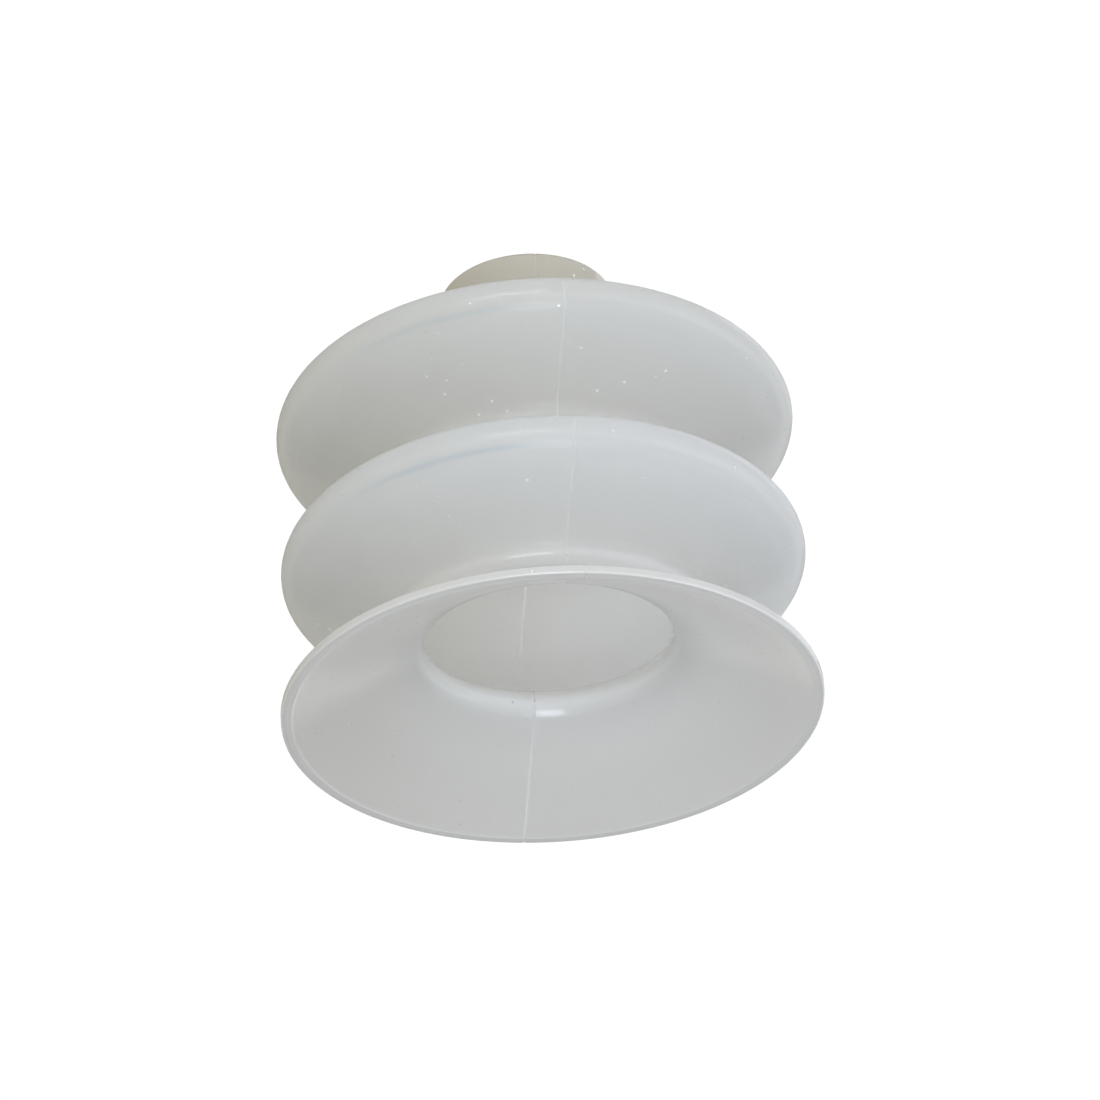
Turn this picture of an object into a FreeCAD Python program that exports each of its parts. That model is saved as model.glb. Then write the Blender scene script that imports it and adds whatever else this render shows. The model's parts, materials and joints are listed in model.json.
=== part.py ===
"""Bellows suction cup: a silicone moulding of two folds and a flared lip, with a brass insert in its neck.

Millimetres. The origin is the centre of the lip's sealing plane and +Z points up to the neck.
The moulding is drawn once, as one wall folded over a row of bends, and is then divided at its flex
lines into the rings that move against each other when the cup is pressed, tilted or flattened.
"""
import FreeCAD, Part
import math
import os
import Sketcher
import types

SIZES = [
    ("overall_height", 47.8, "lip plane to neck top"),
    ("lip_diameter", 52.0, "outside of the lip"),
    ("lip_depth", 8.4, "lip plane to the throat, the narrowest ring above the lip"),
    ("lip_land", 1.0, "width of the flat sealing land under the lip"),
    ("lip_edge_height", 0.8, "upright outer face of the lip"),
    ("throat_diameter", 24.0, "inside of both waists"),
    ("crest_diameter", 51.0, "outside of both folds"),
    ("wall", 1.6, "thickness of the wall round the crests and in the neck"),
    ("crest_bend", 2.2, "outer radius of the crest bends"),
    ("waist_bend", 1.9, "inner radius of the waist bends"),
    ("waist_wall", 3.3, "thickness of the moulding at the waists"),
    ("groove_bend", 2.0, "radius of the outer grooves round the waists"),
    ("neck_diameter", 17.4, "outside of the neck"),
    ("neck_straight", 8.2, "straight length of the neck above its foot"),
    ("neck_fillet", 1.5, "outer fillet between the neck and the shoulder"),
    ("neck_edge", 0.7, "rounding of the neck's top edge"),
    ("zone_margin", 0.2, "straight wall left on each side of a bend where the moulding is divided"),
    ("insert_length", 6.0, "height of the insert"),
    ("insert_recess", 0.4, "depth of the insert below the neck top"),
    ("thread_bore", 8.566, "minor diameter of the G 1/8 thread"),
    ("thread_lead", 0.7, "lead-in chamfer of the thread"),
    ("rib_height", 0.6, "height of the insert's holding ribs"),
    ("rib_width", 1.0, "width of a rib and of the groove beside it"),
]
FOLD_COUNT = 2
RIB_COUNT = 2
FULL_TURN = 360.0
OUTWARD = 1
INWARD = -1
# Codes of a sketch element's points and of the sketch's own axes
START, END, CENTRE = range(1, 4)
ORIGIN = -1
UPRIGHT_AXIS = ORIGIN - 1


class Length:
    """A length from the sheet or worked out from it, with the expression that binds a feature to it."""

    def __init__(self, value, text):
        self.value = value
        self.text = text

    def __add__(self, other):
        return Length(self.value + other.value, f"({self.text} + {other.text})")

    def __sub__(self, other):
        return Length(self.value - other.value, f"({self.text} - {other.text})")

    def __mul__(self, factor):
        return Length(self.value * factor, f"{self.text} * {factor}")

    def __truediv__(self, divisor):
        return Length(self.value / divisor, f"{self.text} / {divisor}")


doc = FreeCAD.newDocument("bellows_suction_cup")
sheet = doc.addObject("Spreadsheet::Sheet", "Sizes")
for row, (alias, size, meaning) in enumerate(SIZES, start=1):
    sheet.set(f"A{row}", meaning)
    sheet.set(f"B{row}", str(size))
    sheet.setAlias(f"B{row}", alias)
doc.recompute()

sizes = types.SimpleNamespace()
for alias, size, meaning in SIZES:
    setattr(sizes, alias, Length(size, f"Sizes.{alias}"))

# Places that several pieces share: radii from the cup's axis, heights above the lip plane
NOUGHT = Length(0.0, "0")
LIP_RADIUS = sizes.lip_diameter / 2
LAND_RADIUS = LIP_RADIUS - sizes.lip_land
NECK_RADIUS = sizes.neck_diameter / 2
STEM_RADIUS = NECK_RADIUS - sizes.wall
BORE_RADIUS = sizes.thread_bore / 2
CREST_CENTRE = sizes.crest_diameter / 2 - sizes.crest_bend
THROAT_RADIUS = sizes.throat_diameter / 2
THROAT_CENTRE = THROAT_RADIUS + sizes.waist_bend
GROOVE_CENTRE = THROAT_RADIUS + sizes.waist_wall + sizes.groove_bend
FOOT_CENTRE = NECK_RADIUS + sizes.neck_fillet
TOP = sizes.overall_height
INSERT_TOP = TOP - sizes.insert_recess
INSERT_FOOT = INSERT_TOP - sizes.insert_length
NECK_FOOT = TOP - sizes.neck_straight
FOLD_PITCH = (NECK_FOOT - sizes.lip_depth) / FOLD_COUNT
LOWER_WAIST = sizes.lip_depth
LOWER_CREST = LOWER_WAIST + FOLD_PITCH / 2
UPPER_WAIST = LOWER_WAIST + FOLD_PITCH
UPPER_CREST = UPPER_WAIST + FOLD_PITCH / 2


def corner(radius, height):
    """A sharp point of a half section."""
    return {"centre": (radius, height), "bend": NOUGHT, "turn": OUTWARD}


def bend(radius, height, bend_radius, turn):
    """A round bend of a half section: OUTWARD round a crest, INWARD round a waist."""
    return {"centre": (radius, height), "bend": bend_radius, "turn": turn}


def tangent_angle(first, second):
    """Direction of the straight run that leaves one bend and meets the next without a kink."""
    across = (second["centre"][0] - first["centre"][0]).value
    rise = (second["centre"][1] - first["centre"][1]).value
    offset = second["turn"] * second["bend"].value - first["turn"] * first["bend"].value
    return math.atan2(rise, across) - math.asin(offset / math.hypot(across, rise))


def touch_point(station, angle):
    """Point where a straight run of that direction touches the bend."""
    reach = station["turn"] * station["bend"].value
    across = station["centre"][0].value + reach * math.sin(angle)
    rise = station["centre"][1].value - reach * math.cos(angle)
    return FreeCAD.Vector(across, rise, 0)


def bind(sketch, kind, references, length):
    """Adds a dimension and ties it to the sheet."""
    index = sketch.addConstraint(Sketcher.Constraint(kind, *references, length.value))
    sketch.setExpression(f"Constraints[{index}]", length.text)


def pin_point(sketch, geometry, point, radius, height):
    """Holds a point of the section at a radius from the axis and a height above the lip plane."""
    if radius is NOUGHT and height is NOUGHT:
        sketch.addConstraint(Sketcher.Constraint("Coincident", geometry, point, ORIGIN, START))
        return
    if radius is NOUGHT:
        sketch.addConstraint(Sketcher.Constraint("PointOnObject", geometry, point, UPRIGHT_AXIS))
    else:
        bind(sketch, "DistanceX", (ORIGIN, START, geometry, point), radius)
    if height is NOUGHT:
        sketch.addConstraint(Sketcher.Constraint("PointOnObject", geometry, point, ORIGIN))
    else:
        bind(sketch, "DistanceY", (ORIGIN, START, geometry, point), height)


def draw_bend(sketch, station, angle_in, angle_out):
    """Adds the arc of a bend; returns it with its entry and exit points."""
    quarter = math.pi / 2
    low, high = angle_in - quarter, angle_out - quarter
    entry, leave = START, END
    if station["turn"] == INWARD:
        low, high = angle_out + quarter, angle_in + quarter
        entry, leave = END, START
    while high <= low:
        high += 2 * math.pi
    middle = FreeCAD.Vector(station["centre"][0].value, station["centre"][1].value, 0)
    circle = Part.Circle(middle, FreeCAD.Vector(0, 0, 1), station["bend"].value)
    arc = sketch.addGeometry(Part.ArcOfCircle(circle, low, high), False)
    pin_point(sketch, arc, CENTRE, *station["centre"])
    bind(sketch, "Radius", (arc,), station["bend"])
    return arc, entry, leave


def draw_section(body, name, stations):
    """A closed half section through the stations: straight runs, tangent to the bends between them."""
    sketch = body.newObject("Sketcher::SketchObject", name)
    plane = [item for item in body.Origin.OriginFeatures if item.Role == "XZ_Plane"][0]
    sketch.AttachmentSupport = (plane, [""])
    sketch.MapMode = "FlatFace"
    count = len(stations)
    angles = [tangent_angle(stations[i], stations[(i + 1) % count]) for i in range(count)]
    runs = []
    for i in range(count):
        begin = touch_point(stations[i], angles[i])
        finish = touch_point(stations[(i + 1) % count], angles[i])
        runs.append(sketch.addGeometry(Part.LineSegment(begin, finish), False))
    for i, station in enumerate(stations):
        before, after = runs[i - 1], runs[i]
        if station["bend"] is NOUGHT:
            sketch.addConstraint(Sketcher.Constraint("Coincident", before, END, after, START))
            pin_point(sketch, after, START, *station["centre"])
            continue
        arc, entry, leave = draw_bend(sketch, station, angles[i - 1], angles[i])
        sketch.addConstraint(Sketcher.Constraint("Tangent", before, END, arc, entry))
        sketch.addConstraint(Sketcher.Constraint("Tangent", arc, leave, after, START))
    return sketch


def turn_section(body, kind, name, sketch):
    """Turns a section about the cup's axis, to add or to cut."""
    feature = body.newObject(kind, name)
    feature.Profile = sketch
    feature.ReferenceAxis = (sketch, ["V_Axis"])
    feature.Angle = FULL_TURN
    return feature


def folded_wall(crest_radius, waist_centre, waist_radius, foot_radius):
    """The bends that one face of the wall follows, from the lip up to the neck."""
    return [
        bend(waist_centre, LOWER_WAIST, waist_radius, INWARD),
        bend(CREST_CENTRE, LOWER_CREST, crest_radius, OUTWARD),
        bend(waist_centre, UPPER_WAIST, waist_radius, INWARD),
        bend(CREST_CENTRE, UPPER_CREST, crest_radius, OUTWARD),
        bend(FOOT_CENTRE, NECK_FOOT, foot_radius, INWARD),
    ]


def make_moulding():
    """The whole silicone moulding: its outer form turned solid, then hollowed along the inner face."""
    body = doc.addObject("PartDesign::Body", "moulding")
    outer = [corner(NOUGHT, NOUGHT), corner(LIP_RADIUS, NOUGHT), corner(LIP_RADIUS, sizes.lip_edge_height)]
    outer += folded_wall(sizes.crest_bend, GROOVE_CENTRE, sizes.groove_bend, sizes.neck_fillet)
    outer += [bend(NECK_RADIUS - sizes.neck_edge, TOP - sizes.neck_edge, sizes.neck_edge, OUTWARD)]
    outer += [corner(NOUGHT, TOP)]
    turn_section(body, "PartDesign::Revolution", "outer_form", draw_section(body, "outer_section", outer))
    inner = [corner(NOUGHT, NOUGHT), corner(LAND_RADIUS, NOUGHT)]
    crest_inside, foot_inside = sizes.crest_bend - sizes.wall, sizes.neck_fillet + sizes.wall
    inner += folded_wall(crest_inside, THROAT_CENTRE, sizes.waist_bend, foot_inside)
    inner += [corner(STEM_RADIUS, TOP), corner(NOUGHT, TOP)]
    turn_section(body, "PartDesign::Groove", "inner_form", draw_section(body, "inner_section", inner))
    return body


def make_insert():
    """The brass bush in the neck: a ribbed stem with the bore of the thread and its lead-in."""
    body = doc.addObject("PartDesign::Body", "threaded_insert")
    crown = STEM_RADIUS + sizes.rib_height
    stations = [corner(BORE_RADIUS, INSERT_FOOT), corner(STEM_RADIUS, INSERT_FOOT)]
    for rib in range(RIB_COUNT):
        lower = INSERT_FOOT + sizes.rib_width * (2 * rib + 1)
        upper = lower + sizes.rib_width
        stations += [corner(STEM_RADIUS, lower), corner(crown, lower)]
        stations += [corner(crown, upper), corner(STEM_RADIUS, upper)]
    stations += [corner(STEM_RADIUS, INSERT_TOP), corner(BORE_RADIUS + sizes.thread_lead, INSERT_TOP)]
    stations += [corner(BORE_RADIUS, INSERT_TOP - sizes.thread_lead)]
    turn_section(body, "PartDesign::Revolution", "bush", draw_section(body, "bush_section", stations))
    return body


def cut_ring(moulding, name, lower, upper):
    """The ring of the moulding between two heights."""
    slab = doc.addObject("Part::Cylinder", f"{name}_slab")
    slab.setExpression("Radius", (sizes.lip_diameter + sizes.crest_diameter).text)
    slab.setExpression("Height", (upper - lower).text)
    slab.setExpression("Placement.Base.z", lower.text)
    ring = doc.addObject("Part::Common", name)
    ring.Base = moulding
    ring.Tool = slab
    return ring


def ring_ends(height, bend_radius):
    """Heights just below and just above a bend, where the wall runs straight."""
    reach = bend_radius + sizes.zone_margin
    return height - reach, height + reach


def make_rings(moulding):
    """The rings of the moulding, from the lip's edge up to the neck."""
    lower_waist = ring_ends(LOWER_WAIST, sizes.waist_bend)
    lower_crest = ring_ends(LOWER_CREST, sizes.crest_bend)
    upper_waist = ring_ends(UPPER_WAIST, sizes.waist_bend)
    upper_crest = ring_ends(UPPER_CREST, sizes.crest_bend)
    edge_top = sizes.lip_edge_height + sizes.zone_margin
    shoulder_top = NECK_FOOT - sizes.neck_fillet
    return [
        cut_ring(moulding, "lip_edge", NOUGHT - sizes.zone_margin, edge_top),
        cut_ring(moulding, "lip_skirt", edge_top, lower_waist[0]),
        cut_ring(moulding, "lower_waist", *lower_waist),
        cut_ring(moulding, "lower_fold_underside", lower_waist[1], lower_crest[0]),
        cut_ring(moulding, "lower_crest", *lower_crest),
        cut_ring(moulding, "lower_fold_top", lower_crest[1], upper_waist[0]),
        cut_ring(moulding, "upper_waist", *upper_waist),
        cut_ring(moulding, "upper_fold_underside", upper_waist[1], upper_crest[0]),
        cut_ring(moulding, "upper_crest", *upper_crest),
        cut_ring(moulding, "shoulder_wall", upper_crest[1], shoulder_top),
        cut_ring(moulding, "neck_root", shoulder_top, INSERT_FOOT),
    ]


def make_neck_sleeve(moulding, insert):
    """The upper neck, moulded round the insert and its ribs."""
    tube = cut_ring(moulding, "neck_tube", INSERT_FOOT, TOP + sizes.zone_margin)
    sleeve = doc.addObject("Part::Cut", "neck_sleeve")
    sleeve.Base = tube
    sleeve.Tool = insert
    return sleeve


def check_and_write(pieces):
    """Stops on a failed feature or an unsound solid, then writes each piece to its own file."""
    for item in doc.Objects:
        if "Invalid" in item.State or "Error" in item.State:
            raise RuntimeError(f"{item.Name} failed: {item.State}")
    for piece in pieces:
        if piece.Shape.isNull() or not piece.Shape.isValid() or len(piece.Shape.Solids) != 1:
            raise RuntimeError(f"{piece.Label} is not one sound solid")
    os.makedirs("parts", exist_ok=True)
    for piece in pieces:
        piece.Shape.exportStep(f"parts/{piece.Label}.step")


whole = make_moulding()
bush = make_insert()
sub_parts = make_rings(whole) + [make_neck_sleeve(whole, bush), bush]
doc.recompute()
check_and_write(sub_parts)
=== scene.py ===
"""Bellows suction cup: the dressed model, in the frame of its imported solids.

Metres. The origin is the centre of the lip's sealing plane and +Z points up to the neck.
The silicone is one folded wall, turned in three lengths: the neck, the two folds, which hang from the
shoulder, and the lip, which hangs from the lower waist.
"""

import json
import math

import bmesh
import bpy
from bpy.props import FloatProperty, FloatVectorProperty, IntProperty, PointerProperty
from mathutils import Matrix, Vector


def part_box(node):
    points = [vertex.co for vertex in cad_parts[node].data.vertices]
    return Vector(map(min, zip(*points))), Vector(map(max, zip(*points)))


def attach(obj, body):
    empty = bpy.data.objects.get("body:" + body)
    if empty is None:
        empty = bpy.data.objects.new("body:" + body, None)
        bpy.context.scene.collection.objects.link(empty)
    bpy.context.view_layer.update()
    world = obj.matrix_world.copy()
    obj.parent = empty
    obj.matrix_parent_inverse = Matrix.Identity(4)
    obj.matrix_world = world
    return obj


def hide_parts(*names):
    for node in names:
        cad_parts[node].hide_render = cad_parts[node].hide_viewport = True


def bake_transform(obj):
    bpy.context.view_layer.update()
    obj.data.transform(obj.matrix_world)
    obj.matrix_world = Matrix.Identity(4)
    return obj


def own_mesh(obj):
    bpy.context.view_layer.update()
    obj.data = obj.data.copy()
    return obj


bl_info = {
    "name": "Bellows Suction Cup",
    "version": (1, 0, 0),
    "blender": (4, 5, 0),
    "location": "View3D > Sidebar > Suction Cup",
    "description": "Dresses the packed solids of a silicone bellows cup with a threaded brass insert",
    "category": "Add Mesh",
}

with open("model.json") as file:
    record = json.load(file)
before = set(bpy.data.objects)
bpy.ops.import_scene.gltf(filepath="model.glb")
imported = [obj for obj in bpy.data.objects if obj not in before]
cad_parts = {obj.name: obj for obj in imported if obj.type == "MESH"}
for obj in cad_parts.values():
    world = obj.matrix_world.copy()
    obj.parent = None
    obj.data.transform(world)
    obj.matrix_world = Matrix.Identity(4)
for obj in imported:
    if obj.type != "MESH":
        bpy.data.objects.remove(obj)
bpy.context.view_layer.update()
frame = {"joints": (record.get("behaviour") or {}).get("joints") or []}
MM = 0.001
OUTWARD = 1
INWARD = -1
AXIS_CLEARANCE = 0.1 * MM
MERGE_DISTANCE = 0.001 * MM
CREASE_ANGLE = math.radians(50)
CLIP_RATIO = 100
WHITE = 1.0, 1.0, 1.0, 1.0

# The tent's light turns to the roof's and to the rear's between these parts of a direction
ROOF_EDGE = -0.1, 0.6
REAR_EDGE = -0.2, 0.8


def foot(node):
    """Lowest level of a solid."""
    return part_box(node)[0].z


def top(node):
    """Highest level of a solid."""
    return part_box(node)[1].z


def middle(node):
    """Level halfway up a solid."""
    return (foot(node) + top(node)) / 2


def reach(node):
    """Outer radius of a round solid."""
    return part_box(node)[1].x


def joint_travel(name):
    """Longest travel of a slide of the frame."""
    found = [joint for joint in frame["joints"] if joint["name"] == name]
    return max(abs(limit) for limit in found[0]["range_m"])


LIP_PLANE = foot("lip_edge")
THROAT = middle("lower_waist")
LOWER_CREST = middle("lower_crest")
UPPER_WAIST = middle("upper_waist")
UPPER_CREST = middle("upper_crest")
FOLDS_TOP = foot("neck_root")
SLEEVE_FOOT = foot("neck_sleeve")
NECK_TOP = top("neck_sleeve")
INSERT_FOOT = foot("threaded_insert")
INSERT_TOP = top("threaded_insert")
CRESTS = LOWER_CREST, UPPER_CREST
WAISTS = THROAT, UPPER_WAIST


class CupShape(bpy.types.PropertyGroup):
    """Sizes of the silicone wall."""

    lip_diameter: FloatProperty(
        name="Lip", description="Outside diameter of the lip", default=2 * reach("lip_edge"), unit="LENGTH"
    )
    crest_diameter: FloatProperty(
        name="Crests",
        description="Outside diameter of both folds",
        default=2 * reach("lower_crest"),
        unit="LENGTH",
    )
    neck_diameter: FloatProperty(
        name="Neck",
        description="Outside diameter of the neck",
        default=2 * reach("neck_sleeve"),
        unit="LENGTH",
    )
    throat_diameter: FloatProperty(
        name="Throat", description="Inside diameter of both waists", default=24 * MM, unit="LENGTH"
    )
    wall: FloatProperty(
        name="Wall", description="Thickness of the folded wall", default=1.6 * MM, unit="LENGTH"
    )
    crest_bend: FloatProperty(
        name="Crest bend", description="Outer radius of the crest bends", default=2.2 * MM, unit="LENGTH"
    )
    waist_bend: FloatProperty(
        name="Waist bend", description="Inner radius of the waist bends", default=1.9 * MM, unit="LENGTH"
    )
    waist_wall: FloatProperty(
        name="Waist wall",
        description="Thickness of the wall at the waists",
        default=3.3 * MM,
        unit="LENGTH",
    )
    groove_bend: FloatProperty(
        name="Groove bend",
        description="Radius of the outer grooves round the waists",
        default=2.0 * MM,
        unit="LENGTH",
    )
    neck_fillet: FloatProperty(
        name="Neck fillet",
        description="Outer fillet at the foot of the neck",
        default=1.5 * MM,
        unit="LENGTH",
    )
    neck_edge: FloatProperty(
        name="Neck edge", description="Rounding of the neck's top edge", default=0.7 * MM, unit="LENGTH"
    )
    lip_edge: FloatProperty(
        name="Lip edge", description="Height of the lip's upright edge", default=0.8 * MM, unit="LENGTH"
    )
    lip_land: FloatProperty(
        name="Lip land", description="Width of the flat sealing land", default=1.0 * MM, unit="LENGTH"
    )
    edge_round: FloatProperty(
        name="Edge rounding",
        description="Rounding of the lip's moulded edges",
        default=0.18 * MM,
        unit="LENGTH",
    )
    seam_gap: FloatProperty(
        name="Seam gap",
        description="Clearance where two lengths of the wall meet",
        default=0.01 * MM,
        unit="LENGTH",
    )
    turn_steps: IntProperty(
        name="Turn steps", description="Faces in one turn of the wall", default=360, min=24
    )
    bend_steps: IntProperty(name="Bend steps", description="Faces along one bend", default=14, min=3)
    run_steps: IntProperty(name="Run steps", description="Faces along one straight run", default=6, min=1)


class FlashShape(bpy.types.PropertyGroup):
    """The fine line that the two mould halves leave."""

    azimuth: FloatProperty(
        name="Azimuth",
        description="Direction of the mould's parting plane",
        default=math.radians(-81.5),
        subtype="ANGLE",
    )
    height: FloatProperty(
        name="Height", description="How far the line stands proud", default=0.11 * MM, unit="LENGTH"
    )
    outer_share: FloatProperty(
        name="Outer share", description="Its height outside against inside", default=0.5, min=0.0
    )
    width: FloatProperty(
        name="Width", description="Half width of the line at its foot", default=0.16 * MM, unit="LENGTH"
    )
    crowding: FloatProperty(
        name="Crowding",
        description="How closely the faces crowd round the line",
        default=0.95,
        min=0.0,
        max=0.99,
    )


class ThreadShape(bpy.types.PropertyGroup):
    """The insert's G 1/8 thread."""

    bore: FloatProperty(name="Bore", description="Minor diameter", default=8.566 * MM, unit="LENGTH")
    depth: FloatProperty(
        name="Depth", description="Depth of the thread's groove", default=0.581 * MM, unit="LENGTH"
    )
    pitch: FloatProperty(
        name="Pitch", description="Rise of the thread in one turn", default=0.907 * MM, unit="LENGTH"
    )
    lead: FloatProperty(
        name="Lead-in", description="Chamfer at the mouth of the bore", default=0.7 * MM, unit="LENGTH"
    )
    steps: IntProperty(name="Steps", description="Faces along one pitch", default=12, min=4)
    turn_steps: IntProperty(
        name="Turn steps", description="Faces in one turn of the bush", default=144, min=24
    )


class Finish(bpy.types.PropertyGroup):
    """Colours and sheen of the two materials."""

    milk: FloatVectorProperty(
        name="Silicone",
        description="Colour of the moulding",
        default=(0.978, 0.980, 0.980),
        size=3,
        subtype="COLOR",
    )
    # Partly the cooler tone of the thin wall and partly painted shade: the flanks darken towards the crests
    # to even out the light on them
    thin: FloatVectorProperty(
        name="Thin silicone",
        description="Colour where the wall is thin",
        default=(0.945, 0.953, 0.961),
        size=3,
        subtype="COLOR",
    )
    # Partly the yellowish tone of the thick neck and partly painted shade: the wall darkens from the upper
    # waist up to the neck
    thick: FloatVectorProperty(
        name="Thick silicone",
        description="Colour of the neck",
        default=(0.82, 0.803, 0.725),
        size=3,
        subtype="COLOR",
    )
    # Painted shade: the hollow colour darkens every inner face of the wall, the lip's inside too
    hollow: FloatVectorProperty(
        name="Hollow",
        description="Colour inside the folds",
        default=(0.81, 0.808, 0.80),
        size=3,
        subtype="COLOR",
    )
    # Painted shade: the crest colour darkens the crests' bends
    crest: FloatVectorProperty(
        name="Crest",
        description="Colour of the crests' bends",
        default=(0.70, 0.73, 0.76),
        size=3,
        subtype="COLOR",
    )
    # The dust colour is also that of the parting line; round the throats and on the land it is painted light
    dust: FloatVectorProperty(
        name="Dust",
        description="Colour of dust and of the mould's parting line",
        default=(0.985, 0.985, 0.98),
        size=3,
        subtype="COLOR",
    )
    dirt: FloatVectorProperty(
        name="Dirt",
        description="Colour of small marks",
        default=(0.45, 0.43, 0.40),
        size=3,
        subtype="COLOR",
    )
    # Painted shade: a darker bluish line under each crest, painted only left of the axis
    line: FloatVectorProperty(
        name="Crest line",
        description="Colour of the line under each crest",
        default=(0.48, 0.62, 0.74),
        size=3,
        subtype="COLOR",
    )
    line_drop: FloatProperty(
        name="Line drop",
        description="Crest line below the middle of its crest",
        default=1.5 * MM,
        unit="LENGTH",
    )
    line_width: FloatProperty(
        name="Line width", description="Half width of the crest line", default=0.35 * MM, unit="LENGTH"
    )
    # The waist reach also sets how far the painted light round the upper waist reaches
    waist_reach: FloatProperty(
        name="Waist reach",
        description="How far from a waist its thicker wall shows",
        default=2.8 * MM,
        unit="LENGTH",
    )
    # Painted light: the lip reach is how far down the lip the near-white band round the throat reaches
    lip_reach: FloatProperty(
        name="Lip reach",
        description="How far down the lip the throat's thicker wall shows",
        default=6.5 * MM,
        unit="LENGTH",
    )
    crest_reach: FloatProperty(
        name="Crest reach",
        description="How far from a crest its bend shows",
        default=2.6 * MM,
        unit="LENGTH",
    )
    flank_reach: FloatProperty(
        name="Flank reach",
        description="How far from a crest its thinner wall shows",
        default=7.0 * MM,
        unit="LENGTH",
    )
    # Painted light: the land reach is the width of the pale band painted on the lip's land
    land_reach: FloatProperty(
        name="Land reach",
        description="How far from the lip's plane its land shows",
        default=0.2 * MM,
        unit="LENGTH",
    )
    skin_roughness: FloatProperty(
        name="Skin", description="Roughness of the satin skin", default=0.18, min=0.0, max=1.0
    )
    throat_roughness: FloatProperty(
        name="Throat", description="Roughness inside the waists", default=0.12, min=0.0, max=1.0
    )
    coat_roughness: FloatProperty(
        name="Gloss", description="Roughness of the glossy skin", default=0.12, min=0.0, max=1.0
    )
    translucency: FloatProperty(
        name="Translucency",
        description="Share of the light that passes the folds' skin",
        default=0.8,
        min=0.0,
        max=1.0,
    )
    lip_translucency: FloatProperty(
        name="Lip translucency",
        description="Share of the light that passes the lip's skin",
        default=0.56,
        min=0.0,
        max=1.0,
    )
    brass: FloatVectorProperty(
        name="Brass",
        description="Colour of the insert",
        default=(0.60, 0.42, 0.17),
        size=3,
        subtype="COLOR",
    )


class Studio(bpy.types.PropertyGroup):
    """Camera, lights and floor."""

    aim: FloatVectorProperty(
        name="Aim",
        description="Point that the camera looks at",
        default=(0.74 * MM, 0.0, 18.34 * MM),
        size=3,
        subtype="TRANSLATION",
    )
    distance: FloatProperty(name="Distance", description="Camera to aim", default=500 * MM, unit="LENGTH")
    elevation: FloatProperty(
        name="Elevation",
        description="Camera below the level of its aim",
        default=math.radians(31.39),
        subtype="ANGLE",
    )
    roll: FloatProperty(
        name="Roll", description="Turn about the line of sight", default=math.radians(3.82), subtype="ANGLE"
    )
    lens: FloatProperty(
        name="Lens", description="Focal length in millimetres", default=168.05, unit="CAMERA"
    )
    floor_level: FloatProperty(
        name="Floor", description="Level of the floor", default=-900 * MM, unit="LENGTH"
    )
    floor_size: FloatProperty(
        name="Floor size", description="Side of the floor", default=6.0, unit="LENGTH"
    )
    floor_paint: FloatVectorProperty(
        name="Floor paint",
        description="Colour of the floor",
        default=(0.42, 0.42, 0.42),
        size=3,
        subtype="COLOR",
    )
    left_light: FloatVectorProperty(
        name="Left light",
        description="Light of the tent's left side",
        default=(0.93, 0.88, 0.70),
        size=3,
        subtype="COLOR",
    )
    right_light: FloatVectorProperty(
        name="Right light",
        description="Light of the tent's right side",
        default=(1.48, 1.53, 1.62),
        size=3,
        subtype="COLOR",
    )
    roof_light: FloatVectorProperty(
        name="Roof light",
        description="Light of the tent's roof",
        default=(0.37, 0.345, 0.30),
        size=3,
        subtype="COLOR",
    )
    rear_share: FloatProperty(
        name="Rear share", description="Light of the tent's rear against its front", default=0.95, min=0.0
    )
    backdrop: FloatProperty(
        name="Backdrop", description="Brightness of the white that the camera sees", default=1.05
    )
    light_distance: FloatProperty(
        name="Light distance", description="Softboxes to aim", default=800 * MM, unit="LENGTH"
    )
    level_side: FloatVectorProperty(
        name="Level side",
        description="Side that the level softbox stands on",
        default=(-0.12, -0.94, 0.25),
        size=3,
        subtype="DIRECTION",
    )
    level_size: FloatVectorProperty(
        name="Level size",
        description="Width and height of the level softbox",
        default=(400 * MM, 120 * MM),
        size=2,
        unit="LENGTH",
    )
    level_power: FloatProperty(
        name="Level light", description="Power of the level softbox", default=0.9, unit="POWER"
    )
    front_side: FloatVectorProperty(
        name="Front side",
        description="Side that the front softbox stands on",
        default=(0.25, -0.82, -0.53),
        size=3,
        subtype="DIRECTION",
    )
    front_size: FloatVectorProperty(
        name="Front size",
        description="Width and height of the front softbox",
        default=(1900 * MM, 600 * MM),
        size=2,
        unit="LENGTH",
    )
    front_power: FloatProperty(
        name="Front light", description="Power of the front softbox", default=2.7, unit="POWER"
    )
    low_side: FloatVectorProperty(
        name="Low side",
        description="Side that the low softbox stands on",
        default=(0.05, -0.616, -0.788),
        size=3,
        subtype="DIRECTION",
    )
    low_size: FloatVectorProperty(
        name="Low size",
        description="Width and height of the low softbox",
        default=(260 * MM, 560 * MM),
        size=2,
        unit="LENGTH",
    )
    low_power: FloatProperty(
        name="Low light", description="Power of the low softbox", default=1.6, unit="POWER"
    )
    rear_side: FloatVectorProperty(
        name="Rear side",
        description="Side that the rear softbox stands on",
        default=(0.60, 0.56, 0.58),
        size=3,
        subtype="DIRECTION",
    )
    rear_size: FloatVectorProperty(
        name="Rear size",
        description="Width and height of the rear softbox",
        default=(500 * MM, 500 * MM),
        size=2,
        unit="LENGTH",
    )
    rear_power: FloatProperty(
        name="Rear light", description="Power of the rear softbox", default=0.8, unit="POWER"
    )
    daylight: FloatVectorProperty(
        name="Daylight",
        description="Colour of the softboxes",
        default=(0.90, 0.97, 1.06),
        size=3,
        subtype="COLOR",
    )


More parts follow.
